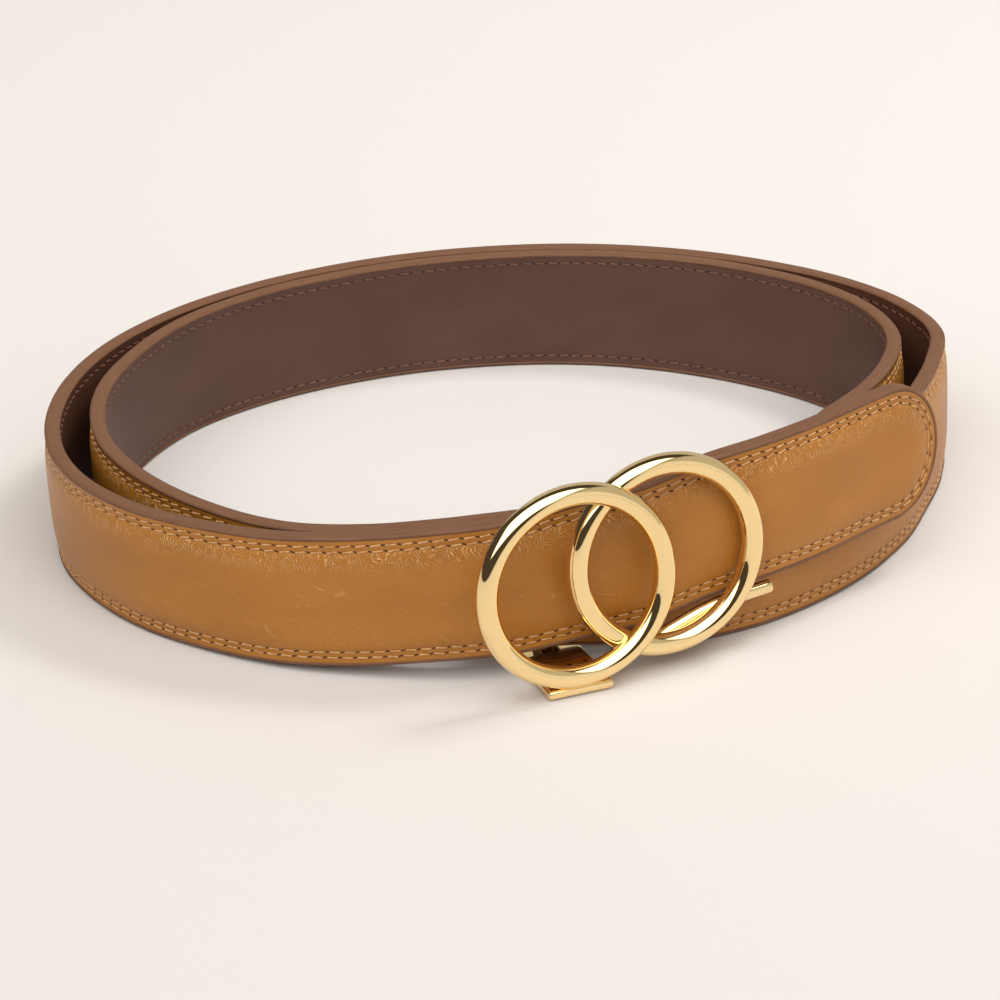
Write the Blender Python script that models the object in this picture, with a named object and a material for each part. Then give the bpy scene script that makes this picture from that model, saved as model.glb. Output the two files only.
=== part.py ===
"""A double ring belt, wound into a coil of a little over two turns that lies on its lower edge.

The strap is one long band. It starts at its rounded tip, in front on the right, and winds
clockwise as seen from above: behind the rings, round the left end, the back and the right end,
behind its own tip, once more round the inside, and back to the buckle, where its end is folded
round a post. The front of the coil faces -Y and its long axis lies along X.

Sizes are in millimetres, and MM turns them into Blender's metres.
"""

import math

import bmesh
import bpy
from mathutils import Vector

MM = 0.001

# Strap: a padded face leather in front of a lining leather
STRAP_WIDTH = 30.0
FACE_THICKNESS = 1.9
LINING_THICKNESS = 1.0
PADDING_RISE = 0.8
PIECE_GAP = 0.3
EDGE_THICKNESS = FACE_THICKNESS + PIECE_GAP + LINING_THICKNESS

# Height share across the strap, and the share of the padding's rise there
PADDING_PROFILE = (
    (0.00, 0.00),
    (0.10, 0.05),
    (0.18, 0.55),
    (0.30, 0.90),
    (0.50, 1.00),
    (0.70, 0.90),
    (0.82, 0.55),
    (0.90, 0.05),
    (1.00, 0.00),
)
PLAIN_PROFILE = ((0.0, 0.0), (0.5, 0.0), (1.0, 0.0))

# Coil: half of its length along X. Bearings are degrees clockwise from +X, seen from above,
# and they count on from turn to turn.
COIL_HALF_LENGTH = 105.0
TIP_BEARING = 40.7
BUCKLE_BEARING = 104.5
SECTION_STEP = 7.5
TIP_SECTIONS = 9
TIP_FIRST_ANGLE = 8.0

# Where the strap's face runs, from just before its tip.
# reach: distance from the coil's middle, as a share of COIL_HALF_LENGTH
# gap: clear space behind the strap to the next turn in, over a light touch, share of STRAP_WIDTH
# lift: height of the strap's lower edge above the floor, share of STRAP_WIDTH
# lean: how far the face falls inward for each unit that it rises
FIRST_TURN = (
    # bearing, reach, gap, lift, lean
    (38, 0.983, 0.200, 0.473, 0.098),
    (42, 0.952, 0.147, 0.473, 0.100),
    (52, 0.884, 0.020, 0.463, 0.103),
    (62, 0.852, 0.000, 0.453, 0.105),
    (72, 0.834, 0.003, 0.443, 0.107),
    (82, 0.813, 0.000, 0.392, 0.117),
    (92, 0.799, 0.010, 0.270, 0.123),
    (102, 0.800, 0.010, 0.213, 0.113),
    (112, 0.822, 0.000, 0.167, 0.047),
    (122, 0.847, 0.000, 0.143, 0.000),
    (132, 0.868, 0.007, 0.077, -0.010),
    (142, 0.900, 0.033, 0.033, -0.033),
    (152, 0.930, 0.110, 0.013, -0.067),
    (162, 0.962, 0.200, 0.000, -0.100),
    (172, 0.983, 0.243, 0.000, -0.108),
    (182, 0.990, 0.213, 0.000, -0.063),
    (197, 0.964, 0.145, 0.000, -0.005),
    (212, 0.925, 0.103, 0.000, 0.050),
    (227, 0.868, 0.027, 0.000, 0.060),
    (242, 0.817, 0.003, 0.000, 0.060),
    (257, 0.784, 0.003, 0.000, 0.060),
    (272, 0.770, 0.000, 0.000, 0.050),
    (287, 0.775, 0.000, 0.000, 0.037),
    (302, 0.799, 0.000, 0.000, 0.017),
    (317, 0.834, 0.000, 0.000, -0.020),
    (332, 0.883, 0.013, 0.000, -0.060),
    (347, 0.956, 0.073, 0.000, -0.050),
    (357, 1.002, 0.147, 0.000, -0.007),
    (367, 1.014, 0.207, 0.000, 0.040),
    (377, 0.965, 0.190, 0.000, 0.073),
    (387, 0.912, 0.230, 0.000, 0.083),
    (397, 0.879, 0.320, 0.000, 0.095),
)

# The second turn lies behind the first and leans with it.
# gap: as above
# climb: height of its lower edge, as a share of the step over the buckle's foot
SECOND_TURN = (
    # bearing, gap, climb
    (402, 0.310, 0.00),
    (412, 0.273, 0.00),
    (422, 0.187, 0.00),
    (432, 0.103, 0.00),
    (442, 0.033, 0.00),
    (452, 0.007, 0.55),
    (462, 0.000, 1.30),
    (472, 0.000, 1.80),
    (482, 0.000, 1.65),
    (492, 0.000, 0.80),
    (502, 0.000, 0.25),
    (512, 0.000, 0.00),
)

# The strap's last stretch climbs onto the buckle's foot.
# skive: how much of its thickness is pared away there, before it folds round the post
# taper: how much of its width is cut away there
LAST_STRETCH = (
    # bearing, climb, skive, taper
    (785, 0.00, 0.00, 0.00),
    (797, 0.20, 0.00, 0.00),
    (807, 0.80, 0.10, 0.05),
    (814, 1.08, 0.25, 0.15),
    (830, 1.10, 0.40, 0.30),
)

# Folded end of the strap, round the buckle's post
FOLD_TURN = 187.0
FOLD_SECTIONS = 10
FOLD_LENGTH = 12.0

# Buckle: two soldered rings on a foot, with a post for the strap and a rod under its tip
RING_DIAMETER = 44.0
RING_WIRE = 4.6
RING_SPACING = 21.3
RING_SETBACK = 2.8
RING_RISE = 1.6
RING_STANDOFF = 9.5
RING_SINK = 0.4
RING_SEGMENTS = 48
RING_SIDES = 12
BUCKLE_YAW = 1.0
FOOT_THICKNESS = 2.0
FOOT_LENGTH = 14.6
FOOT_MARGIN = 4.0
FOOT_BEVEL = 0.4
POST_DIAMETER = 2.4
ROD_DIAMETER = 3.0
ROD_LENGTH = 43.0
ROD_SETBACK = 6.0
ROD_HEIGHT = 1.5
ROD_DRIFT = 3.0
ROD_RISE = 9.9
ROD_BEVEL = 0.7
ROUND_SIDES = 16

# The rod bends up under the strap. Each column is a share of the rod's own size in that direction.
ROD_PATH = (
    # along, drift, rise
    (0.00, 0.00, 0.00),
    (0.35, 0.25, 0.42),
    (0.67, 0.62, 0.85),
    (1.00, 1.00, 1.00),
)

STEP_HEIGHT = FOOT_THICKNESS + PIECE_GAP
TURN_PITCH = EDGE_THICKNESS + PADDING_RISE + PIECE_GAP
FULL_TURN = 360
SLOPE_STEP = 0.5


def smooth_value(knots, at):
    """Read a smooth curve through knots of (position, value)."""
    if at <= knots[0][0]:
        return knots[0][1]
    if at >= knots[-1][0]:
        return knots[-1][1]
    i = max(k for k in range(len(knots) - 1) if knots[k][0] <= at)
    (x0, y0), (x1, y1) = knots[i], knots[i + 1]
    xa, ya = knots[max(i - 1, 0)]
    xb, yb = knots[min(i + 2, len(knots) - 1)]
    start_slope = (y1 - ya) / (x1 - xa) * (x1 - x0)
    end_slope = (yb - y0) / (xb - x0) * (x1 - x0)
    t = (at - x0) / (x1 - x0)
    return (
        (2 * t**3 - 3 * t**2 + 1) * y0
        + (t**3 - 2 * t**2 + t) * start_slope
        + (3 * t**2 - 2 * t**3) * y1
        + (t**3 - t**2) * end_slope
    )


def column(rows, index, size=1.0):
    return [(row[0], row[index] * size) for row in rows]


GAP_KNOTS = column(FIRST_TURN, 2, STRAP_WIDTH) + column(SECOND_TURN, 1, STRAP_WIDTH)
LIFT_KNOTS = (
    column(FIRST_TURN, 3, STRAP_WIDTH)
    + column(SECOND_TURN, 2, STEP_HEIGHT)
    + column(LAST_STRETCH, 1, STEP_HEIGHT)
)
LEAN_START = FIRST_TURN[1]
LEAN_KNOTS = column(FIRST_TURN, 4) + [(LEAN_START[0] + FULL_TURN, LEAN_START[4])]
SKIVE_KNOTS = column(LAST_STRETCH, 2)
TAPER_KNOTS = column(LAST_STRETCH, 3, STRAP_WIDTH / 2)


def spiral_knots():
    """Radii of the strap's face at its knots, each turn laid behind the one before."""
    knots = column(FIRST_TURN, 1, COIL_HALF_LENGTH)
    i = 1
    while knots[-1][0] < 2 * FULL_TURN + BUCKLE_BEARING + SLOPE_STEP:
        before, (bearing, radius), after = knots[i - 1 : i + 2]
        slope = (after[1] - before[1]) / math.radians(after[0] - before[0]) / radius
        step = TURN_PITCH + max(0.0, smooth_value(GAP_KNOTS, bearing))
        knots.append((bearing + FULL_TURN, radius - step * math.hypot(1.0, slope)))
        i += 1
    return knots


SPIRAL_KNOTS = spiral_knots()


def face_point(bearing):
    angle = math.radians(-bearing)
    return Vector((math.cos(angle), math.sin(angle))) * smooth_value(SPIRAL_KNOTS, bearing)


def turned(vector, degrees):
    angle = math.radians(degrees)
    return Vector(
        (
            vector.x * math.cos(angle) - vector.y * math.sin(angle),
            vector.x * math.sin(angle) + vector.y * math.cos(angle),
        )
    )


def route_station(bearing):
    """The face's point and outward normal on the floor, with its lift, lean and thickness."""
    ahead = face_point(bearing + SLOPE_STEP) - face_point(bearing - SLOPE_STEP)
    outward = turned(ahead.normalized(), 90)
    in_first_turn = LEAN_START[0] + (bearing - LEAN_START[0]) % FULL_TURN
    taper = smooth_value(TAPER_KNOTS, bearing)
    return {
        "point": face_point(bearing),
        "outward": outward,
        "lift": max(0.0, smooth_value(LIFT_KNOTS, bearing)) + taper,
        "lean": -outward * smooth_value(LEAN_KNOTS, in_first_turn),
        "half_width": STRAP_WIDTH / 2 - taper,
        "thickness": 1.0 - smooth_value(SKIVE_KNOTS, bearing),
    }


def walk_route(end):
    """Distances along the strap's face from its tip, degree by degree."""
    walk = [(0.0, TIP_BEARING)]
    while walk[-1][1] < end:
        bearing = min(walk[-1][1] + 1, end)
        step = (face_point(bearing) - face_point(walk[-1][1])).length
        walk.append((walk[-1][0] + step, bearing))
    return walk


def bearing_at(walk, distance):
    """The bearing at a distance from the strap's tip."""
    for (s0, b0), (s1, b1) in zip(walk, walk[1:]):
        if distance <= s1:
            return b0 + (b1 - b0) * (distance - s0) / (s1 - s0)
    return walk[-1][1]


def tip_stations(walk):
    """Stations on the strap's half-round tip, whose width grows like a circle's."""
    radius = STRAP_WIDTH / 2
    stations = []
    for i in range(TIP_SECTIONS):
        angle = TIP_FIRST_ANGLE + (90 - TIP_FIRST_ANGLE) * i / TIP_SECTIONS
        angle = math.radians(angle)
        station = route_station(bearing_at(walk, radius * (1 - math.cos(angle))))
        station["lift"] += radius * (1 - math.sin(angle))
        station["half_width"] = radius * math.sin(angle)
        stations.append(station)
    return stations


def folded_thickness(last):
    return (FACE_THICKNESS + LINING_THICKNESS) * last["thickness"] + PIECE_GAP


def fold_radius(last):
    """From the middle of the buckle's post to the face that folds round it."""
    return folded_thickness(last) + PIECE_GAP + POST_DIAMETER / 2


def fold_centre(last):
    """Middle of the buckle's post, behind the strap's last point on the floor plan."""
    return last["point"] - last["outward"] * fold_radius(last)


def fold_stations(last):
    """Stations round the buckle's post and back along the strap's lining."""
    centre = fold_centre(last)
    stations = []
    for i in range(1, FOLD_SECTIONS + 1):
        outward = turned(last["outward"], -FOLD_TURN * i / FOLD_SECTIONS)
        stations.append(dict(last, outward=outward, point=centre + outward * fold_radius(last)))
    end = stations[-1]
    ahead = turned(end["outward"], -90)
    for share in (0.5, 1.0):
        stations.append(dict(end, point=end["point"] + ahead * FOLD_LENGTH * share))
    return stations


def strap_stations():
    end = 2 * FULL_TURN + BUCKLE_BEARING
    walk = walk_route(end)
    length = walk[-1][0]
    start = STRAP_WIDTH / 2
    count = math.ceil((length - start) / SECTION_STEP)
    stations = tip_stations(walk)
    for i in range(count + 1):
        distance = start + (length - start) * i / count
        stations.append(route_station(bearing_at(walk, distance)))
    return stations + fold_stations(stations[-1])


def section(station, near, far, profile):
    """One cross-section between two depths: up the outer side, then down the inner side."""
    corners = []
    rise = PADDING_RISE * station["thickness"] * station["half_width"] / (STRAP_WIDTH / 2)
    sides = [(height, near - rise * share) for height, share in profile]
    sides += [(height, far) for height in (1.0, 0.5, 0.0)]
    for height, depth in sides:
        z = station["lift"] + 2 * station["half_width"] * height
        plan = station["point"] - station["outward"] * depth + station["lean"] * z
        corners.append(Vector((plan.x, plan.y, z)) * MM)
    return corners


def face_section(station):
    return section(station, 0.0, FACE_THICKNESS * station["thickness"], PADDING_PROFILE)


def lining_section(station):
    near = FACE_THICKNESS * station["thickness"] + PIECE_GAP
    return section(station, near, near + LINING_THICKNESS * station["thickness"], PLAIN_PROFILE)


def loft_mesh(name, sections):
    """A closed solid through sections with equal numbers of corners."""
    mesh = bpy.data.meshes.new(name)
    shape = bmesh.new()
    rings = [[shape.verts.new(corner) for corner in corners] for corners in sections]
    for ring, following in zip(rings, rings[1:]):
        for i in range(len(ring)):
            j = (i + 1) % len(ring)
            shape.faces.new((ring[i], ring[j], following[j], following[i]))
    shape.faces.new(rings[0])
    shape.faces.new(list(reversed(rings[-1])))
    bmesh.ops.recalc_face_normals(shape, faces=shape.faces)
    shape.to_mesh(mesh)
    shape.free()
    return mesh


def add_object(name, mesh):
    thing = bpy.data.objects.new(name, mesh)
    bpy.context.collection.objects.link(thing)
    return thing


def shade_round(thing, angle=40):
    thing.data.shade_smooth()
    thing.data.set_sharp_from_angle(angle=math.radians(angle))


def box_mesh(name, low, high):
    """A block between two corners in the buckle's own frame."""
    mesh = bpy.data.meshes.new(name)
    shape = bmesh.new()
    bmesh.ops.create_cube(shape, size=1.0)
    for vertex in shape.verts:
        for axis in range(3):
            middle = (low[axis] + high[axis]) / 2
            vertex.co[axis] = (middle + vertex.co[axis] * (high[axis] - low[axis])) * MM
    shape.to_mesh(mesh)
    shape.free()
    return mesh


def bar_mesh(name, points, diameter):
    """A round bar through points in the buckle's own frame."""
    sections = []
    for i, point in enumerate(points):
        along = points[min(i + 1, len(points) - 1)] - points[max(i - 1, 0)]
        side = along.cross(Vector((0, 1, 0))).normalized() * diameter / 2
        other = along.cross(side).normalized() * diameter / 2
        section_corners = []
        for j in range(ROUND_SIDES):
            angle = 2 * math.pi * j / ROUND_SIDES
            section_corners.append((point + side * math.cos(angle) + other * math.sin(angle)) * MM)
        sections.append(section_corners)
    return loft_mesh(name, sections)


def ring_mesh(name, centre, tilt):
    """A ring of round wire whose axis points out of the belt's front, tilted back with the strap."""
    mesh = bpy.data.meshes.new(name)
    shape = bmesh.new()
    radius = (RING_DIAMETER - RING_WIRE) / 2
    loops = []
    for i in range(RING_SEGMENTS):
        around = 2 * math.pi * i / RING_SEGMENTS
        loop = []
        for j in range(RING_SIDES):
            across = 2 * math.pi * j / RING_SIDES
            distance = radius + RING_WIRE / 2 * math.cos(across)
            depth = RING_WIRE / 2 * math.sin(across)
            rise = distance * math.sin(around)
            x = centre.x + distance * math.cos(around)
            y = centre.y + depth * math.cos(tilt) + rise * math.sin(tilt)
            z = centre.z + rise * math.cos(tilt) - depth * math.sin(tilt)
            loop.append(shape.verts.new(Vector((x, y, z)) * MM))
        loops.append(loop)
    for i in range(RING_SEGMENTS):
        ring, following = loops[i], loops[(i + 1) % RING_SEGMENTS]
        for j in range(RING_SIDES):
            k = (j + 1) % RING_SIDES
            shape.faces.new((ring[j], ring[k], following[k], following[j]))
    bmesh.ops.recalc_face_normals(shape, faces=shape.faces)
    shape.to_mesh(mesh)
    shape.free()
    return mesh


def bevel(thing, width, segments):
    modifier = thing.modifiers.new("Soft edges", "BEVEL")
    modifier.width = width * MM
    modifier.segments = segments
    modifier.limit_method = "ANGLE"


def solder(thing, piece):
    """Join a hidden piece to a solid, as solder does."""
    piece.hide_render = True
    piece.display_type = "WIRE"
    modifier = thing.modifiers.new("Soldered " + piece.name, "BOOLEAN")
    modifier.operation = "UNION"
    modifier.object = piece


def build_buckle(last):
    """The buckle in a frame of its own: X along the front, Y into the coil, origin at the strap."""
    front = route_station(BUCKLE_BEARING)
    place = front["point"]
    slope = front["lean"].length
    tilt = math.atan(slope)
    radius = RING_DIAMETER / 2

    centre_z = FOOT_THICKNESS + radius * math.cos(tilt) - RING_SINK
    plane_y = slope * centre_z - RING_STANDOFF
    left_centre = Vector((0, plane_y, centre_z))
    right_centre = left_centre + Vector((RING_SPACING, RING_SETBACK, RING_RISE))
    buckle = add_object("double_ring_buckle", ring_mesh("left_ring", left_centre, tilt))
    right_ring = add_object("right_ring", ring_mesh("right_ring", right_centre, tilt))

    post = turned(fold_centre(last) - place, -BUCKLE_YAW)
    bottom_y = plane_y - radius * math.sin(tilt)
    low = (-FOOT_LENGTH / 2, bottom_y - RING_WIRE / 4, 0)
    high = (FOOT_LENGTH / 2, post.y + FOOT_MARGIN, FOOT_THICKNESS)
    foot = add_object("foot", box_mesh("foot", low, high))
    bevel(foot, FOOT_BEVEL, 2)

    post_top = last["lift"] + 2 * last["half_width"] - FOOT_BEVEL
    lean = turned(last["lean"], -BUCKLE_YAW)
    post_points = [
        Vector((post.x + lean.x * height, post.y + lean.y * height, height))
        for height in (FOOT_THICKNESS / 2, post_top)
    ]
    post_bar = add_object("post", bar_mesh("post", post_points, POST_DIAMETER))

    rod_start = Vector((FOOT_LENGTH / 2 - ROD_DIAMETER, low[1] + ROD_SETBACK, ROD_HEIGHT))
    rod_points = [
        rod_start + Vector((along * ROD_LENGTH, drift * ROD_DRIFT, rise * ROD_RISE))
        for along, drift, rise in ROD_PATH
    ]
    rod = add_object("rod", bar_mesh("rod", rod_points, ROD_DIAMETER))
    bevel(rod, ROD_BEVEL, 2)

    pieces = (right_ring, foot, post_bar, rod)
    for piece in pieces:
        solder(buckle, piece)
    for thing in (buckle, *pieces):
        thing.location = (place.x * MM, place.y * MM, 0)
        thing.rotation_euler.z = math.radians(BUCKLE_YAW)
    shade_round(buckle)
    return buckle, pieces


def material(name, colour, roughness, metallic=0.0):
    finish = bpy.data.materials.new(name)
    finish.use_nodes = True
    shader = finish.node_tree.nodes["Principled BSDF"]
    shader.inputs["Base Color"].default_value = (*colour, 1.0)
    shader.inputs["Roughness"].default_value = roughness
    shader.inputs["Metallic"].default_value = metallic
    return finish


def stand_on_origin(solids, things):
    """Hang everything on an empty, moved so that the box round the solids stands on the origin."""
    frame = bpy.data.objects.new("belt_frame", None)
    bpy.context.collection.objects.link(frame)
    for thing in things:
        thing.parent = frame
    bpy.context.view_layer.update()
    graph = bpy.context.evaluated_depsgraph_get()
    corners = []
    for solid in solids:
        shown = solid.evaluated_get(graph)
        corners += [shown.matrix_world @ vertex.co for vertex in shown.data.vertices]
    for axis in range(2):
        values = [corner[axis] for corner in corners]
        frame.location[axis] = -(min(values) + max(values)) / 2
    frame.location.z = -min(corner.z for corner in corners)
    bpy.context.view_layer.update()


def build():
    for old in list(bpy.data.objects):
        bpy.data.objects.remove(old, do_unlink=True)

    stations = strap_stations()
    last = route_station(2 * FULL_TURN + BUCKLE_BEARING)
    face_mesh = loft_mesh("strap_face", [face_section(station) for station in stations])
    lining_mesh = loft_mesh("strap_lining", [lining_section(station) for station in stations])
    face = add_object("strap_face", face_mesh)
    lining = add_object("strap_lining", lining_mesh)
    buckle, pieces = build_buckle(last)

    shade_round(face)
    shade_round(lining)
    face.data.materials.append(material("tan_leather", (0.47, 0.21, 0.055), 0.45))
    lining.data.materials.append(material("brown_lining_leather", (0.11, 0.055, 0.038), 0.6))
    buckle.data.materials.append(material("polished_gold", (0.95, 0.72, 0.36), 0.12, 1.0))
    stand_on_origin((face, lining, buckle), (face, lining, buckle, *pieces))


build()
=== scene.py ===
import math

import bpy
import numpy as np
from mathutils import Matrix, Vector


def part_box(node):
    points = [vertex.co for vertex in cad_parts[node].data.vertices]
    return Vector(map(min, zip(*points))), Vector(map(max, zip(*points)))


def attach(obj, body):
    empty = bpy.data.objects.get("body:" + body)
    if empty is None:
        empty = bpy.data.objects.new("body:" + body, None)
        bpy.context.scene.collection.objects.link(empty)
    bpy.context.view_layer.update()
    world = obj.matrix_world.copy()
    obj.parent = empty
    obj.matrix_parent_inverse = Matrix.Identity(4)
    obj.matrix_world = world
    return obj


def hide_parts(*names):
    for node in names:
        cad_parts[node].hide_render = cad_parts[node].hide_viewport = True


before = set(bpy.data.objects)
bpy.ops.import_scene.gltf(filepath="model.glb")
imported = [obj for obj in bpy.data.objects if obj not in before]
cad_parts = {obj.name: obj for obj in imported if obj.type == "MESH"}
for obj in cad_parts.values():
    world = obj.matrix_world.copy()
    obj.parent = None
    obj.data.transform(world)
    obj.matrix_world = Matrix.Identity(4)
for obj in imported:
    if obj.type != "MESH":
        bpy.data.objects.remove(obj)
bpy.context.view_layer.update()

MM = 0.001

# Strap: the same sizes as its solids have, in millimetres
STRAP_WIDTH = 30.0
HALF_WIDTH = STRAP_WIDTH / 2
FACE_THICKNESS = 1.9
LINING_THICKNESS = 1.0
PADDING_RISE = 0.8
PIECE_GAP = 0.3
EDGE_THICKNESS = FACE_THICKNESS + PIECE_GAP + LINING_THICKNESS
TURN_PITCH = EDGE_THICKNESS + PADDING_RISE + PIECE_GAP
FOOT_THICKNESS = 2.0
STEP_HEIGHT = FOOT_THICKNESS + PIECE_GAP

# Coil. Bearings are degrees clockwise from +X seen from above, counted on from turn to turn.
COIL_HALF_LENGTH = 105.0
TIP_BEARING = 40.7
BUCKLE_BEARING = 104.5
FULL_TURN = 360
FIRST_TURN = (
    # bearing, reach, gap, lift, lean
    (38, 0.983, 0.200, 0.473, 0.098),
    (42, 0.952, 0.147, 0.473, 0.100),
    (52, 0.884, 0.020, 0.463, 0.103),
    (62, 0.852, 0.000, 0.453, 0.105),
    (72, 0.834, 0.003, 0.443, 0.107),
    (82, 0.813, 0.000, 0.392, 0.117),
    (92, 0.799, 0.010, 0.270, 0.123),
    (102, 0.800, 0.010, 0.213, 0.113),
    (112, 0.822, 0.000, 0.167, 0.047),
    (122, 0.847, 0.000, 0.143, 0.000),
    (132, 0.868, 0.007, 0.077, -0.010),
    (142, 0.900, 0.033, 0.033, -0.033),
    (152, 0.930, 0.110, 0.013, -0.067),
    (162, 0.962, 0.200, 0.000, -0.100),
    (172, 0.983, 0.243, 0.000, -0.108),
    (182, 0.990, 0.213, 0.000, -0.063),
    (197, 0.964, 0.145, 0.000, -0.005),
    (212, 0.925, 0.103, 0.000, 0.050),
    (227, 0.868, 0.027, 0.000, 0.060),
    (242, 0.817, 0.003, 0.000, 0.060),
    (257, 0.784, 0.003, 0.000, 0.060),
    (272, 0.770, 0.000, 0.000, 0.050),
    (287, 0.775, 0.000, 0.000, 0.037),
    (302, 0.799, 0.000, 0.000, 0.017),
    (317, 0.834, 0.000, 0.000, -0.020),
    (332, 0.883, 0.013, 0.000, -0.060),
    (347, 0.956, 0.073, 0.000, -0.050),
    (357, 1.002, 0.147, 0.000, -0.007),
    (367, 1.014, 0.207, 0.000, 0.040),
    (377, 0.965, 0.190, 0.000, 0.073),
    (387, 0.912, 0.230, 0.000, 0.083),
    (397, 0.879, 0.320, 0.000, 0.095),
)
SECOND_TURN = (
    # bearing, gap, climb
    (402, 0.310, 0.00),
    (412, 0.273, 0.00),
    (422, 0.187, 0.00),
    (432, 0.103, 0.00),
    (442, 0.033, 0.00),
    (452, 0.007, 0.55),
    (462, 0.000, 1.30),
    (472, 0.000, 1.80),
    (482, 0.000, 1.65),
    (492, 0.000, 0.80),
    (502, 0.000, 0.25),
    (512, 0.000, 0.00),
)
LAST_STRETCH = (
    # bearing, climb, skive, taper
    (785, 0.00, 0.00, 0.00),
    (797, 0.20, 0.00, 0.00),
    (807, 0.80, 0.10, 0.05),
    (814, 1.08, 0.25, 0.15),
    (830, 1.10, 0.40, 0.30),
)
FOLD_TURN = 187.0
FOLD_LENGTH = 12.0
POST_DIAMETER = 2.4
POST_INSET = 0.4

# Buckle
RING_DIAMETER = 44.0
RING_WIRE = 4.6
RING_SPACING = 21.3
RING_SETBACK = 2.8
RING_RISE = 1.6
RING_STANDOFF = 9.5
RING_SINK = 0.4
BUCKLE_YAW = 1.0
FOOT_LENGTH = 14.6
FOOT_MARGIN = 4.0
FOOT_ROUNDING = 0.8
ROD_DIAMETER = 3.0
ROD_LENGTH = 43.0
ROD_SETBACK = 6.0
ROD_HEIGHT = 1.5
ROD_DRIFT = 3.0
ROD_RISE = 9.9
ROD_PATH = (
    # along, drift, rise
    (0.00, 0.00, 0.00),
    (0.35, 0.25, 0.42),
    (0.67, 0.62, 0.85),
    (1.00, 1.00, 1.00),
)

# Dressing of the strap, in millimetres, with rows counted in from its edge
STITCH_PITCH = 3.2
STITCH_UNEVENNESS = 0.40
ROW_SHIFT = 0.5
FACE_ROWS = (2.15, 3.45)
LINING_ROW = 2.5
ROW_END_MARGIN = 8.0
CHANNEL_DEPTH = 0.11
LINING_CHANNEL_DEPTH = 0.10
CHANNEL_HALF_WIDTH = 0.36
PUCKER_ROW = 4.7
PUCKER_DEPTH = 0.07
ALONG_STEP = STITCH_PITCH / 4
LINING_INNER_DEPTH = FACE_THICKNESS + 0.2
FACE_INNER_DEPTH = FACE_THICKNESS + 0.1
PADDING_SHAPE = (
    # distance from the edge, share of the padding's rise
    (0.0, 0.00),
    (2.0, 0.00),
    (3.5, 0.06),
    (4.4, 0.36),
    (5.4, 0.62),
    (7.0, 0.82),
    (9.5, 0.94),
    (15.0, 1.00),
)


def column(rows, index, size=1.0):
    return [(row[0], row[index] * size) for row in rows]


def smooth_values(knots, at):
    """Read a smooth curve through knots of (position, value) at many positions."""
    x = np.array([knot[0] for knot in knots], float)
    y = np.array([knot[1] for knot in knots], float)
    at = np.clip(np.asarray(at, float), x[0], x[-1])
    i = np.clip(np.searchsorted(x, at, side="right") - 1, 0, len(x) - 2)
    before = np.maximum(i - 1, 0)
    after = np.minimum(i + 2, len(x) - 1)
    width = x[i + 1] - x[i]
    start_slope = (y[i + 1] - y[before]) / (x[i + 1] - x[before]) * width
    end_slope = (y[after] - y[i]) / (x[after] - x[i]) * width
    t = (at - x[i]) / width
    return (
        (2 * t**3 - 3 * t**2 + 1) * y[i]
        + (t**3 - 2 * t**2 + t) * start_slope
        + (3 * t**2 - 2 * t**3) * y[i + 1]
        + (t**3 - t**2) * end_slope
    )


GAP_KNOTS = column(FIRST_TURN, 2, STRAP_WIDTH) + column(SECOND_TURN, 1, STRAP_WIDTH)
LIFT_KNOTS = (
    column(FIRST_TURN, 3, STRAP_WIDTH)
    + column(SECOND_TURN, 2, STEP_HEIGHT)
    + column(LAST_STRETCH, 1, STEP_HEIGHT)
)
LEAN_START = FIRST_TURN[1]
LEAN_KNOTS = column(FIRST_TURN, 4) + [(LEAN_START[0] + FULL_TURN, LEAN_START[4])]


def spiral_knots():
    knots = column(FIRST_TURN, 1, COIL_HALF_LENGTH)
    i = 1
    while knots[-1][0] < 2 * FULL_TURN + BUCKLE_BEARING + 0.5:
        before, (bearing, radius), after = knots[i - 1 : i + 2]
        slope = (after[1] - before[1]) / math.radians(after[0] - before[0]) / radius
        step = TURN_PITCH + max(0.0, float(smooth_values(GAP_KNOTS, bearing)))
        knots.append((bearing + FULL_TURN, radius - step * math.hypot(1.0, slope)))
        i += 1
    return knots


SPIRAL_KNOTS = spiral_knots()


def face_points(bearing):
    angle = np.radians(-np.asarray(bearing, float))
    radius = smooth_values(SPIRAL_KNOTS, bearing)
    return np.stack((np.cos(angle) * radius, np.sin(angle) * radius), axis=-1)


def turned(vectors, degrees):
    angle = math.radians(degrees)
    x, y = vectors[..., 0], vectors[..., 1]
    turn_x = x * math.cos(angle) - y * math.sin(angle)
    turn_y = x * math.sin(angle) + y * math.cos(angle)
    return np.stack((turn_x, turn_y), axis=-1)


def unit(vectors):
    return vectors / np.linalg.norm(vectors, axis=-1, keepdims=True)


def stations_at(bearing):
    """Rows of point, outward, lean vector, lift, and shares of thickness and width."""
    bearing = np.asarray(bearing, float)
    point = face_points(bearing)
    outward = turned(unit(face_points(bearing + 0.5) - face_points(bearing - 0.5)), 90)
    in_first_turn = LEAN_START[0] + (bearing - LEAN_START[0]) % FULL_TURN
    lean = -outward * smooth_values(LEAN_KNOTS, in_first_turn)[..., None]
    taper = smooth_values(column(LAST_STRETCH, 3), bearing)
    lift = np.maximum(0.0, smooth_values(LIFT_KNOTS, bearing)) + taper * HALF_WIDTH
    thickness = 1.0 - smooth_values(column(LAST_STRETCH, 2), bearing)
    return np.column_stack((point, outward, lean, lift, thickness, 1.0 - taper))


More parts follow.
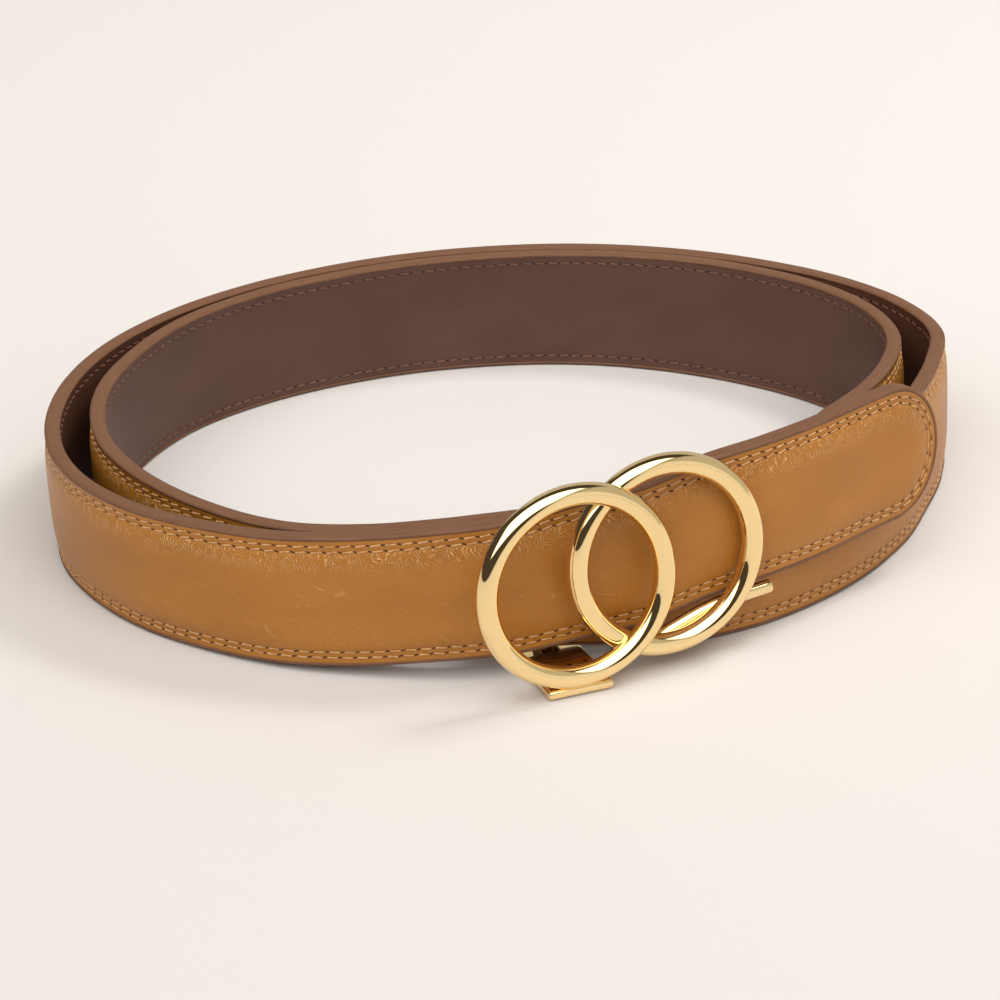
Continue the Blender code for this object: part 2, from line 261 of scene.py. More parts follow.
def whole_route():
    """The strap's run from a little before its tip to the end of its fold."""
    end = 2 * FULL_TURN + BUCKLE_BEARING
    bearing = np.concatenate((np.arange(TIP_BEARING - 2, end, 0.25), [end]))
    rows = stations_at(bearing)
    steps = np.linalg.norm(np.diff(rows[:, :2], axis=0), axis=1)
    along = np.concatenate(([0.0], np.cumsum(steps)))
    along -= np.interp(TIP_BEARING, bearing, along)

    last = rows[-1]
    strap_end = along[-1]
    folded = (FACE_THICKNESS + LINING_THICKNESS) * last[7] + PIECE_GAP
    radius = folded + PIECE_GAP + POST_DIAMETER / 2
    centre = last[:2] - last[2:4] * radius
    turns = np.linspace(0, FOLD_TURN, 25)[1:]
    fold = np.tile(last, (len(turns), 1))
    for row, degrees in zip(fold, turns):
        row[2:4] = turned(last[2:4], -degrees)
        row[:2] = centre + row[2:4] * radius
    flap = np.tile(fold[-1], (8, 1))
    flap_along = np.linspace(0, FOLD_LENGTH, 9)[1:]
    flap[:, :2] += turned(fold[-1][2:4], -90) * flap_along[:, None]
    fold_along = along[-1] + np.radians(turns) * radius
    along = np.concatenate((along, fold_along, fold_along[-1] + flap_along))
    return along, np.vstack((rows, fold, flap)), centre, strap_end


ALONG, ROUTE, POST_CENTRE, STRAP_END = whole_route()
FLAP_END = ALONG[-1]


def place(along, height, depth):
    """Points of the strap in the plan of the coil: depth grows from the face to the lining."""
    station = [np.interp(along, ALONG, ROUTE[:, k]) for k in range(9)]
    length = np.hypot(station[2], station[3])
    outward_x, outward_y = station[2] / length, station[3] / length
    lean_x, lean_y = station[4], station[5]
    depth = depth * station[7]
    z = station[6] + height * station[8]
    x = station[0] - outward_x * depth + lean_x * z
    y = station[1] - outward_y * depth + lean_y * z
    return np.stack((x, y, z), axis=-1)


def coil_shift():
    """Where the coil's middle lies in the row frame, read from the strap's own solid."""
    along = np.arange(0.0, FLAP_END, 0.5)
    low = place(along, 0.0, 0.0)
    high = place(along, STRAP_WIDTH, 0.0)
    dome = place(along[30:], HALF_WIDTH, -PADDING_RISE)
    points = np.vstack((low, high, dome))
    mine = (points.min(0) + points.max(0)) / 2
    solid_low, solid_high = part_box("strap_face")
    theirs = (np.array(solid_low) + np.array(solid_high)) / 2 / MM
    return theirs[0] - mine[0], theirs[1] - mine[1]


SHIFT = np.array((*coil_shift(), 0.0))


def hash_noise(x, y, seed):
    """Smooth noise from -1 to 1 on a plane, the same each run."""
    corner_x, corner_y = np.floor(x), np.floor(y)
    u, v = x - corner_x, y - corner_y
    u, v = u * u * (3 - 2 * u), v * v * (3 - 2 * v)

    def value(i, j):
        n = np.sin(i * 127.1 + j * 311.7 + seed * 74.7) * 43758.5453
        return 2 * (n - np.floor(n)) - 1

    low = value(corner_x, corner_y) * (1 - u) + value(corner_x + 1, corner_y) * u
    high = value(corner_x, corner_y + 1) * (1 - u) + value(corner_x + 1, corner_y + 1) * u
    return low * (1 - v) + high * v


def uneven(seam):
    """How far a stitch lies from its even place."""
    return STITCH_UNEVENNESS * hash_noise(seam / 7.3, 0 * seam + 0.5, 11)


def seam_place(along, height):
    """Distance from the strap's edge, and distance along the seam that runs round the tip."""
    across = np.abs(height - HALF_WIDTH)
    into_tip = np.maximum(HALF_WIDTH - along, 0.0)
    from_edge = HALF_WIDTH - np.hypot(into_tip, across)
    seam = np.where(
        along < HALF_WIDTH,
        HALF_WIDTH - np.arctan2(into_tip, across) * (HALF_WIDTH - FACE_ROWS[1]),
        along,
    )
    return from_edge, seam + uneven(seam)


def bump_at(distance, centre, width):
    """A smooth ridge of height 1 along a line."""
    return np.exp(-(((distance - centre) / width) ** 2))


def face_relief(along, height):
    """How far the face stands out from its plain plane. The padding thins out before the fold."""
    from_edge, seam = seam_place(along, height)
    fade = np.clip((STRAP_END - 6 - along) / 20, 0.25, 1.0)
    relief = PADDING_RISE * smooth_values(PADDING_SHAPE, from_edge) * fade
    phase = np.cos(2 * np.pi * seam / STITCH_PITCH)
    for row in FACE_ROWS:
        relief -= CHANNEL_DEPTH * bump_at(from_edge, row, CHANNEL_HALF_WIDTH) * (1.0 + 0.45 * phase)
    relief -= PUCKER_DEPTH * phase * bump_at(from_edge, PUCKER_ROW, 0.9) * fade
    swell = hash_noise(along / 23, height / 12, 1) * 0.09
    swell += hash_noise(along / 7, height / 6, 2) * 0.035
    relief += swell * np.clip((from_edge - 4) / 4, 0, 1)
    return relief


def lining_relief(along, height):
    """How far the lining stands out from its plain plane."""
    from_edge, seam = seam_place(along, height)
    phase = np.cos(2 * np.pi * seam / STITCH_PITCH)
    channel = bump_at(from_edge, LINING_ROW, CHANNEL_HALF_WIDTH) * (1.0 + 0.5 * phase)
    return 0.05 * hash_noise(along / 15, height / 9, 3) - LINING_CHANNEL_DEPTH * channel


def section_places():
    """Distances along the strap: close together round the tip, then four to a stitch."""
    angles = np.radians(np.arange(6, 90, 2.0))
    tip = HALF_WIDTH * (1 - np.cos(angles))
    return np.concatenate((tip, np.arange(HALF_WIDTH, FLAP_END, ALONG_STEP), [FLAP_END]))


def half_widths(along):
    """Half the strap's width, which narrows in a half circle at the tip."""
    into_tip = np.maximum(HALF_WIDTH - along, 0.0)
    return np.sqrt(HALF_WIDTH**2 - into_tip**2)


def closed_tube(name, grid, seam_uv=None, plain_uv=None):
    """A closed mesh through rows of points, each row a loop."""
    rows, loop = grid.shape[:2]
    i = np.arange(rows - 1)[:, None]
    j = np.arange(loop)[None, :]
    k = (j + 1) % loop
    quads = np.stack((i * loop + j, i * loop + k, (i + 1) * loop + k, (i + 1) * loop + j), axis=-1)
    quads = quads.reshape(-1, 4)
    mesh = bpy.data.meshes.new(name)
    first_cap = list(range(loop))[::-1]
    last_cap = [(rows - 1) * loop + n for n in range(loop)]
    faces = quads.tolist() + [first_cap, last_cap]
    mesh.from_pydata(((grid.reshape(-1, 3) + SHIFT) * MM).tolist(), [], faces)
    mesh.validate()
    thing = bpy.data.objects.new(name, mesh)
    bpy.context.scene.collection.objects.link(thing)
    corner_vertex = np.zeros(len(mesh.loops), int)
    mesh.loops.foreach_get("vertex_index", corner_vertex)
    for layer_name, values in (("seam", seam_uv), ("plain", plain_uv)):
        if values is not None:
            layer = mesh.uv_layers.new(name=layer_name)
            flat = values.reshape(-1, 2)[corner_vertex].astype(np.float32)
            layer.data.foreach_set("uv", flat.ravel())
    face_outwards(mesh)
    mesh.shade_smooth()
    return thing


def face_outwards(mesh):
    """Turn a closed mesh so that its faces look out."""
    mesh.calc_loop_triangles()
    count = len(mesh.loop_triangles)
    corners = np.zeros(count * 3, int)
    mesh.loop_triangles.foreach_get("vertices", corners)
    points = np.zeros(len(mesh.vertices) * 3)
    mesh.vertices.foreach_get("co", points)
    a, b, c = points.reshape(-1, 3)[corners.reshape(-1, 3)].transpose(1, 0, 2)
    if np.einsum("ij,ij->i", a, np.cross(b, c)).sum() < 0:
        mesh.flip_normals()


# Distances from the edge at which a leather's section has points, and the few of a plain side
SIDE_STEPS = np.array(
    (0.3, 0.6, 1.0, 1.4, 1.8, 2.15, 2.5, 2.8, 3.15, 3.45, 3.8, 4.2, 4.7, 5.3, 6.1, 7.1, 8.4, 10.0, 12.3)
)
PLAIN_POINTS = [0, 5, 12, 19, 26, 33, 38]


def strap_layer(name, near, far, outer_relief, inner_relief):
    """One leather of the strap, between two depths."""
    along = section_places()
    half = half_widths(along)
    shares = np.concatenate((SIDE_STEPS, [HALF_WIDTH], STRAP_WIDTH - SIDE_STEPS[::-1]))
    shares = (shares - HALF_WIDTH) / HALF_WIDTH
    plain_shares = shares[PLAIN_POINTS]
    outer = shares if outer_relief else plain_shares
    inner = (shares if inner_relief else plain_shares)[::-1]
    grids = []
    for sides, depth, relief, sign in ((outer, near, outer_relief, -1), (inner, far, inner_relief, 1)):
        at = np.repeat(along[:, None], len(sides), axis=1)
        height = HALF_WIDTH + half[:, None] * sides[None, :]
        depths = np.full_like(at, depth)
        if relief:
            depths = depths + sign * relief(at, height)
        grids.append((at, height, depths))
    at, height, depths = (np.concatenate([grid[k] for grid in grids], axis=1) for k in range(3))
    from_edge, seam = seam_place(at, height)
    seam_uv = np.stack((seam, from_edge), axis=-1)
    return closed_tube(name, place(at, height, depths), seam_uv, np.stack((at, height), axis=-1))


def outline_places():
    """The strap's outline: along its lower edge to the tip, round it and back along the top."""
    straight = np.append(np.arange(HALF_WIDTH, FLAP_END, ALONG_STEP * 1.5), FLAP_END)
    angles = np.radians(np.arange(-87, 90, 3.0))
    round_along = HALF_WIDTH - HALF_WIDTH * np.cos(angles)
    round_height = HALF_WIDTH + HALF_WIDTH * np.sin(angles)
    along = np.concatenate((straight[::-1], round_along, straight))
    height = np.concatenate((0 * straight, round_height, 0 * straight + STRAP_WIDTH))
    out_along = np.concatenate((0 * straight, -np.cos(angles), 0 * straight))
    out_height = np.concatenate((0 * straight - 1, np.sin(angles), 0 * straight + 1))
    return along, height, out_along, out_height


EDGE_PROFILE = (
    # depth, distance out from the edge
    (-0.06, -0.95),
    (-0.13, -0.70),
    (-0.13, -0.40),
    (0.05, -0.18),
    (0.45, -0.04),
    (1.10, 0.00),
    (2.10, 0.00),
    (2.75, -0.04),
    (3.15, -0.18),
    (3.33, -0.40),
    (3.33, -0.65),
    (3.26, -0.85),
    (2.80, -0.45),
    (0.40, -0.45),
)


def edge_band(name):
    """The painted edge, wrapped over both leathers all round the strap."""
    along, height, out_along, out_height = outline_places()
    depth = np.array([row[0] for row in EDGE_PROFILE])[None, :]
    out = np.array([row[1] for row in EDGE_PROFILE])[None, :]
    at = along[:, None] + out_along[:, None] * out
    heights = height[:, None] + out_height[:, None] * out
    depths = np.repeat(depth, len(along), axis=0)
    run = np.concatenate(([0.0], np.cumsum(np.hypot(np.diff(along), np.diff(height)))))
    uv = np.stack((np.repeat(run[:, None], at.shape[1], axis=1), depths), axis=-1)
    return closed_tube(name, place(at, heights, depths), uv)


STITCH_SHAPE = (
    # share of the half length, height over the leather, half thickness
    (-1.00, -0.22, 0.08),
    (-0.84, 0.02, 0.17),
    (-0.50, 0.04, 0.20),
    (0.00, 0.05, 0.20),
    (0.50, 0.08, 0.21),
    (0.84, 0.10, 0.20),
    (1.00, -0.16, 0.10),
)
STITCH_SIDES = 6
STITCH_SHARE = 0.385


def seam_point(seam, from_edge, side):
    """Distances along and across the strap of a point on a seam that runs round the tip."""
    turn = np.maximum(HALF_WIDTH - seam, 0.0) / (HALF_WIDTH - FACE_ROWS[1])
    radius = HALF_WIDTH - from_edge
    along = np.where(seam < HALF_WIDTH, HALF_WIDTH - radius * np.sin(turn), seam)
    height = HALF_WIDTH + side * radius * np.where(seam < HALF_WIDTH, np.cos(turn), 1.0)
    return along, height


def stitch_row(from_edge, side, surface_depth, relief, sign, seed):
    """Loops of points for one row of stitches. The face's inner row is set a little back."""
    tip_end = HALF_WIDTH - math.pi / 2 * (HALF_WIDTH - FACE_ROWS[1])
    centres = np.arange(tip_end + STITCH_PITCH / 2, STRAP_END - ROW_END_MARGIN, STITCH_PITCH)
    centres = np.round(centres / STITCH_PITCH - 0.5) * STITCH_PITCH + STITCH_PITCH / 2
    centres = centres - (ROW_SHIFT if from_edge == FACE_ROWS[1] else 0.0)
    centres = centres - uneven(centres)
    shape = np.array(STITCH_SHAPE)
    half = STITCH_SHARE * STITCH_PITCH * (1 + 0.06 * hash_noise(centres * 2.3, centres * 0, seed + 5))
    seam = centres[:, None] + half[:, None] * shape[None, :, 0]
    tilt = 0.13 + 0.06 * hash_noise(centres * 1.7, centres * 0 + 3.5, seed + 9)
    offset = from_edge + tilt[:, None] * shape[None, :, 0]
    along, height = seam_point(seam, offset, side)
    depth = surface_depth + sign * (relief(along, height) + shape[None, :, 1])
    middle = place(along, height, depth)
    ahead_along, ahead_height = seam_point(seam + 0.3, offset, side)
    ahead = unit(place(ahead_along, ahead_height, depth) - middle)
    out = unit(place(along, height, depth + sign * 0.3) - middle)
    across = np.cross(ahead, out)
    loops = []
    for k in range(STITCH_SIDES):
        angle = 2 * math.pi * k / STITCH_SIDES
        step = out * math.cos(angle) + across * math.sin(angle)
        loops.append(middle + step * shape[None, :, 2, None])
    return np.stack(loops, axis=2)


def stitch_mesh(name, rows):
    """All rows of stitches of one leather as one piece of many closed threads."""
    loops = np.concatenate(rows)
    count, rings, sides = loops.shape[:3]
    base = (np.arange(count) * rings * sides)[:, None, None]
    i = np.arange(rings - 1)[None, :, None]
    j = np.arange(sides)[None, None, :]
    k = (j + 1) % sides
    quads = np.stack(
        (
            base + i * sides + j,
            base + i * sides + k,
            base + (i + 1) * sides + k,
            base + (i + 1) * sides + j,
        ),
        axis=-1,
    ).reshape(-1, 4)
    ends = np.arange(sides)[None, :] + (np.arange(count) * rings * sides)[:, None]
    faces = quads.tolist() + ends[:, ::-1].tolist() + (ends + (rings - 1) * sides).tolist()
    mesh = bpy.data.meshes.new(name)
    mesh.from_pydata(((loops.reshape(-1, 3) + SHIFT) * MM).tolist(), [], faces)
    thing = bpy.data.objects.new(name, mesh)
    bpy.context.scene.collection.objects.link(thing)
    face_outwards(mesh)
    mesh.shade_smooth()
    return thing


def in_buckle_frame(points):
    """From the buckle's own frame, X along the front, to the row frame, in metres."""
    x, y, z = points[..., 0], points[..., 1], points[..., 2]
    plan = turned(np.stack((x, y), axis=-1), BUCKLE_YAW) + BUCKLE_PLACE
    return (np.stack((plan[..., 0], plan[..., 1], z), axis=-1) + SHIFT) * MM


FRONT = stations_at([BUCKLE_BEARING])[0]
BUCKLE_PLACE = FRONT[:2]
LEAN_SLOPE = float(np.hypot(FRONT[4], FRONT[5]))
TILT = math.atan(LEAN_SLOPE)
RING_HEIGHT = FOOT_THICKNESS + RING_DIAMETER / 2 * math.cos(TILT) - RING_SINK
RING_PLANE = LEAN_SLOPE * RING_HEIGHT - RING_STANDOFF
LEFT_CENTRE = np.array((0.0, RING_PLANE, RING_HEIGHT))
RIGHT_CENTRE = LEFT_CENTRE + np.array((RING_SPACING, RING_SETBACK, RING_RISE))
RING_STEPS = 160
WIRE_STEPS = 40


def ring_piece(name, centre):
    """A ring of round wire, leaning back as the strap does."""
    around = np.linspace(0, 2 * math.pi, RING_STEPS, endpoint=False)[:, None]
    across = np.linspace(0, 2 * math.pi, WIRE_STEPS, endpoint=False)[None, :]
    distance = (RING_DIAMETER - RING_WIRE) / 2 + RING_WIRE / 2 * np.cos(across)
    depth = RING_WIRE / 2 * np.sin(across) + 0 * around
    rise = distance * np.sin(around)
    x = centre[0] + distance * np.cos(around)
    y = centre[1] + depth * math.cos(TILT) + rise * math.sin(TILT)
    z = centre[2] + rise * math.cos(TILT) - depth * math.sin(TILT)
    points = in_buckle_frame(np.stack((x, y, z), axis=-1)).reshape(-1, 3)
    i = np.arange(RING_STEPS)[:, None]
    j = np.arange(WIRE_STEPS)[None, :]
    ni, nj = (i + 1) % RING_STEPS, (j + 1) % WIRE_STEPS
    quads = np.stack(
        (i * WIRE_STEPS + j, i * WIRE_STEPS + nj, ni * WIRE_STEPS + nj, ni * WIRE_STEPS + j), axis=-1
    )
    return metal_piece(name, points, quads.reshape(-1, 4).tolist())


def metal_piece(name, points, faces):
    """A smooth closed mesh from points in metres."""
    mesh = bpy.data.meshes.new(name)
    mesh.from_pydata([tuple(point) for point in points], [], faces)
    thing = bpy.data.objects.new(name, mesh)
    bpy.context.scene.collection.objects.link(thing)
    face_outwards(mesh)
    mesh.shade_smooth()
    return thing


def smooth_path(points, steps):
    """Points close together on a smooth curve through a few points."""
    at = np.linspace(0, len(points) - 1, steps)
    axes = [smooth_values([(k, point[axis]) for k, point in enumerate(points)], at) for axis in range(3)]
    return np.stack(axes, axis=-1)


END_ROUNDING = (
    # distance in from the end, share of the bar's radius
    (0.00, 0.55),
    (0.12, 0.82),
    (0.35, 0.96),
    (0.70, 1.00),
)
BAR_SIDES = 32


def bar_piece(name, path, diameter, dome):
    """A round bar along a path, with its ends rounded over a length of dome."""
    radius = diameter / 2
    ahead = unit(np.gradient(path, axis=0))
    side = unit(np.cross(ahead, np.array((0.0, 1.0, 0.0))))
    other = np.cross(ahead, side)
    angles = np.linspace(0, 2 * math.pi, BAR_SIDES, endpoint=False)
    last = len(path) - 1
    full = END_ROUNDING[-1][0]
    sections = [(0, path[0] + ahead[0] * dome * (inward - full), share) for inward, share in END_ROUNDING]
    sections += [(k, path[k], 1.0) for k in range(1, last)]
    for inward, share in reversed(END_ROUNDING):
        sections.append((last, path[last] - ahead[last] * dome * inward, share))
    rings = []
    for k, centre, share in sections:
        spread = side[k] * np.cos(angles)[:, None] + other[k] * np.sin(angles)[:, None]
        rings.append(centre + spread * radius * share)
    points = in_buckle_frame(np.array(rings)).reshape(-1, 3)
    count = BAR_SIDES
    faces = []
    for i in range(len(rings) - 1):
        for j in range(count):
            k = (j + 1) % count
            faces.append((i * count + j, i * count + k, (i + 1) * count + k, (i + 1) * count + j))
    faces.append(tuple(range(count))[::-1])
    faces.append(tuple((len(rings) - 1) * count + j for j in range(count)))
    return metal_piece(name, points, faces)


def foot_piece(name, low, high):
    """A flat plate with rounded edges."""
    corners = []
    for z in (low[2], high[2]):
        for x, y in ((low[0], low[1]), (high[0], low[1]), (high[0], high[1]), (low[0], high[1])):
            corners.append((x, y, z))
    faces = [(0, 3, 2, 1), (4, 5, 6, 7), (0, 1, 5, 4), (1, 2, 6, 5), (2, 3, 7, 6), (3, 0, 4, 7)]
    thing = metal_piece(name, in_buckle_frame(np.array(corners)), faces)
    rounding = thing.modifiers.new("Rounding", "BEVEL")
    rounding.width = FOOT_ROUNDING * MM
    rounding.segments = 6
    return thing


def build_buckle():
    """Both rings, the foot, the post and the rod, soldered into one piece."""
    left = ring_piece("ring_buckle", LEFT_CENTRE)
    right = ring_piece("right_ring", RIGHT_CENTRE)
    bottom = RING_PLANE - RING_DIAMETER / 2 * math.sin(TILT)
    post = turned(POST_CENTRE - BUCKLE_PLACE, -BUCKLE_YAW)
    low = (-FOOT_LENGTH / 2, bottom - RING_WIRE / 4, 0.0)
    high = (FOOT_LENGTH / 2, post[1] + FOOT_MARGIN, FOOT_THICKNESS)
    foot = foot_piece("foot", low, high)
    rod_start = np.array((FOOT_LENGTH / 2 - ROD_DIAMETER, low[1] + ROD_SETBACK, ROD_HEIGHT))
    size = np.array((ROD_LENGTH, ROD_DRIFT, ROD_RISE))
    rod_path = smooth_path([rod_start + size * np.array(row) for row in ROD_PATH], 25)
    rod = bar_piece("rod", rod_path, ROD_DIAMETER, 0.9)
    last = stations_at([2 * FULL_TURN + BUCKLE_BEARING])[0]
    top = last[6] + STRAP_WIDTH * last[8] - POST_INSET
    lean = turned(last[4:6], -BUCKLE_YAW)
    heights = np.linspace(FOOT_THICKNESS / 2, top, 6)
    post_path = np.stack((post[0] + lean[0] * heights, post[1] + lean[1] * heights, heights), axis=-1)
    post_bar = bar_piece("post", post_path, POST_DIAMETER, 0.4)
    for piece in (right, foot, post_bar, rod):
        join = left.modifiers.new("Soldered " + piece.name, "BOOLEAN")
        join.operation = "UNION"
        join.object = piece
    bpy.context.view_layer.update()
    graph = bpy.context.evaluated_depsgraph_get()
    whole = bpy.data.meshes.new_from_object(left.evaluated_get(graph), depsgraph=graph)
    left.modifiers.clear()
    left.data = whole
    for piece in (right, foot, post_bar, rod):
        bpy.data.objects.remove(piece)
    whole.shade_smooth()
    whole.set_sharp_from_angle(angle=math.radians(50))
    return left


class Nodes:
    """A short way to write node graphs."""

    def __init__(self, tree):
        self.tree = tree

    def add(self, kind, inputs=(), **settings):
        node = self.tree.nodes.new(kind)
        for name, value in settings.items():
            setattr(node, name, value)
        for name, value in dict(inputs).items():
            self.put(node.inputs[name], value)
        return node

    def put(self, socket, value):
        if isinstance(value, bpy.types.NodeSocket):
            self.tree.links.new(value, socket)
        else:
            socket.default_value = value

    def math(self, operation, a, b=0.0, c=0.0):
        node = self.add("ShaderNodeMath", operation=operation)
        for socket, value in zip(node.inputs, (a, b, c)):
            self.put(socket, value)
        return node.outputs[0]

    def between(self, value, start, end):
        """0 at start and 1 at end, smoothly."""
        parts = {"Value": value, "From Min": start, "From Max": end}
        return self.add("ShaderNodeMapRange", parts, interpolation_type="SMOOTHSTEP").outputs[0]

    def noise(self, vector, scale, detail=2.0, roughness=0.5):
        parts = {"Vector": vector, "Scale": scale, "Detail": detail, "Roughness": roughness}
        return self.add("ShaderNodeTexNoise", parts).outputs[0]

    def cells(self, vector, scale, smoothness):
        parts = {"Vector": vector, "Scale": scale, "Smoothness": smoothness}
        return self.add("ShaderNodeTexVoronoi", parts, feature="SMOOTH_F1").outputs["Distance"]

    def stretch(self, vector, x, y, z=1.0):
        node = self.add("ShaderNodeMapping")
        self.put(node.inputs["Vector"], vector)
        node.inputs["Scale"].default_value = (x, y, z)
        return node.outputs[0]

    def mix(self, share, a, b):
        node = self.add("ShaderNodeMix", data_type="RGBA")
        for socket, value in ((node.inputs[0], share), (node.inputs[6], a), (node.inputs[7], b)):
            self.put(socket, value)
        return node.outputs[2]

    def bump(self, height, distance, strength=1.0, normal=None):
        node = self.add("ShaderNodeBump")
        node.inputs["Distance"].default_value = distance
        node.inputs["Strength"].default_value = strength
        self.put(node.inputs["Height"], height)
        if normal is not None:
            self.put(node.inputs["Normal"], normal)
        return node.outputs[0]


def new_material(name):
    """A material, a helper for its nodes and its shader."""
    made = bpy.data.materials.new(name)
    made.use_nodes = True
    nodes = Nodes(made.node_tree)
    return made, nodes, made.node_tree.nodes["Principled BSDF"]


SLIT_ANGLE = math.radians(17)
SLIT_HALF_LENGTH = 0.74
SLIT_HALF_WIDTH = 0.18


def slits(n, seam, from_edge, row, shift):
    """Mask of a row's needle holes, short slits that lie aslant at the stitches' ends; the leathers paint
    shade into the holes with it.
    """
    stitches = n.math("DIVIDE", n.math("ADD", seam, shift), STITCH_PITCH)
    turn = n.math("FRACT", n.math("ADD", stitches, 0.5))
    ahead = n.math("MULTIPLY", n.math("SUBTRACT", turn, 0.5), STITCH_PITCH)
    aside = n.math("SUBTRACT", from_edge, row)
    cosine, sine = math.cos(SLIT_ANGLE), math.sin(SLIT_ANGLE)
    long_way = n.math("SUBTRACT", n.math("MULTIPLY", ahead, cosine), n.math("MULTIPLY", aside, sine))
    short_way = n.math("ADD", n.math("MULTIPLY", ahead, sine), n.math("MULTIPLY", aside, cosine))
    long_way = n.math("POWER", n.math("DIVIDE", long_way, SLIT_HALF_LENGTH), 2.0)
    short_way = n.math("POWER", n.math("DIVIDE", short_way, SLIT_HALF_WIDTH), 2.0)
    return n.between(n.math("ADD", long_way, short_way), 1.7, 0.5)


def strap_uvs(n):
    """The seam map's vector with its two axes, and the plain map's the same way."""
    found = []
    for name in ("seam", "plain"):
        uv = n.add("ShaderNodeUVMap", uv_map=name).outputs[0]
        axes = n.add("ShaderNodeSeparateXYZ", {"Vector": uv}).outputs
        found += [uv, axes[0], axes[1]]
    return found


# Leather marks, in millimetres, and where along the strap it is scratched
SCRATCH_ANGLE = math.radians(-36)
SCRATCH_ZONE = (70, 105, 165, 220)
RIDGE_PERIOD = 0.74


def scratch_marks(n, plain_uv, along, from_edge):
    """Fine slanting scratches, broken here and there, most of them in the front stretch."""
    sway = n.noise(n.stretch(plain_uv, 0.12, 0.12), 1.0, 2.0)
    swayed = n.add("ShaderNodeVectorMath", {0: plain_uv}, operation="ADD")
    n.put(swayed.inputs[1], n.math("MULTIPLY", sway, 9.0))
    slanted = n.add("ShaderNodeMapping", {"Vector": swayed.outputs[0], "Rotation": (0, 0, SCRATCH_ANGLE)})
    cracks = n.add("ShaderNodeTexVoronoi", feature="DISTANCE_TO_EDGE", voronoi_dimensions="2D")
    n.put(cracks.inputs["Vector"], n.stretch(slanted.outputs[0], 0.022, 0.34))
    cracks.inputs["Scale"].default_value = 1.0
    lines = n.between(cracks.outputs["Distance"], 0.026, 0.005)
    broken = n.between(n.noise(n.stretch(plain_uv, 0.40, 0.40), 1.0, 3.0, 0.75), 0.47, 0.60)
    inside_rows = n.between(from_edge, 4.5, 6.5)
    near, rising, falling, far = SCRATCH_ZONE
    worn = n.math("MULTIPLY", n.between(along, near, rising), n.between(along, far, falling))
    worn = n.math("MULTIPLY_ADD", worn, 0.88, 0.12)
    return n.math("MULTIPLY", n.math("MULTIPLY", lines, broken), n.math("MULTIPLY", inside_rows, worn))


def pucker_ridges(n, seam_uv, plain_uv, seam, from_edge, height):
    """Fine ridges that fan out from the inner row of stitches, and how strong they are where."""
    bend = n.math("MULTIPLY", n.math("POWER", n.math("SUBTRACT", from_edge, 3.4), 2.0), 0.09)
    sway = n.math("MULTIPLY", n.noise(n.stretch(seam_uv, 0.14, 0.16), 1.0, 3.0, 0.55), 9.0)
    phase = n.math("ADD", n.math("ADD", seam, bend), sway)
    wave = n.math("SINE", n.math("MULTIPLY", phase, 2 * math.pi / RIDGE_PERIOD))
    gaps = n.between(n.noise(n.stretch(seam_uv, 0.8, 0.5), 1.0, 2.0), 0.32, 0.54)
    ridges = n.math("MULTIPLY", n.math("MULTIPLY_ADD", wave, 0.5, 0.5), gaps)
    shoulder = n.math("MULTIPLY", n.between(from_edge, 3.6, 4.2), n.between(from_edge, 9.0, 5.0))
    # Ridges are stronger towards the strap's upper half, both in the bump and in their painted highlight
    # on the tan face.
    upper = n.between(height, HALF_WIDTH, HALF_WIDTH + 4)
    shoulder = n.math("MULTIPLY", shoulder, n.math("MULTIPLY_ADD", upper, 0.85, 0.15))
    patchy = n.between(n.noise(n.stretch(plain_uv, 0.03, 0.02), 1.0, 1.0), 0.30, 0.50)
    return ridges, n.math("MULTIPLY", shoulder, n.math("MULTIPLY_ADD", patchy, 0.75, 0.25))


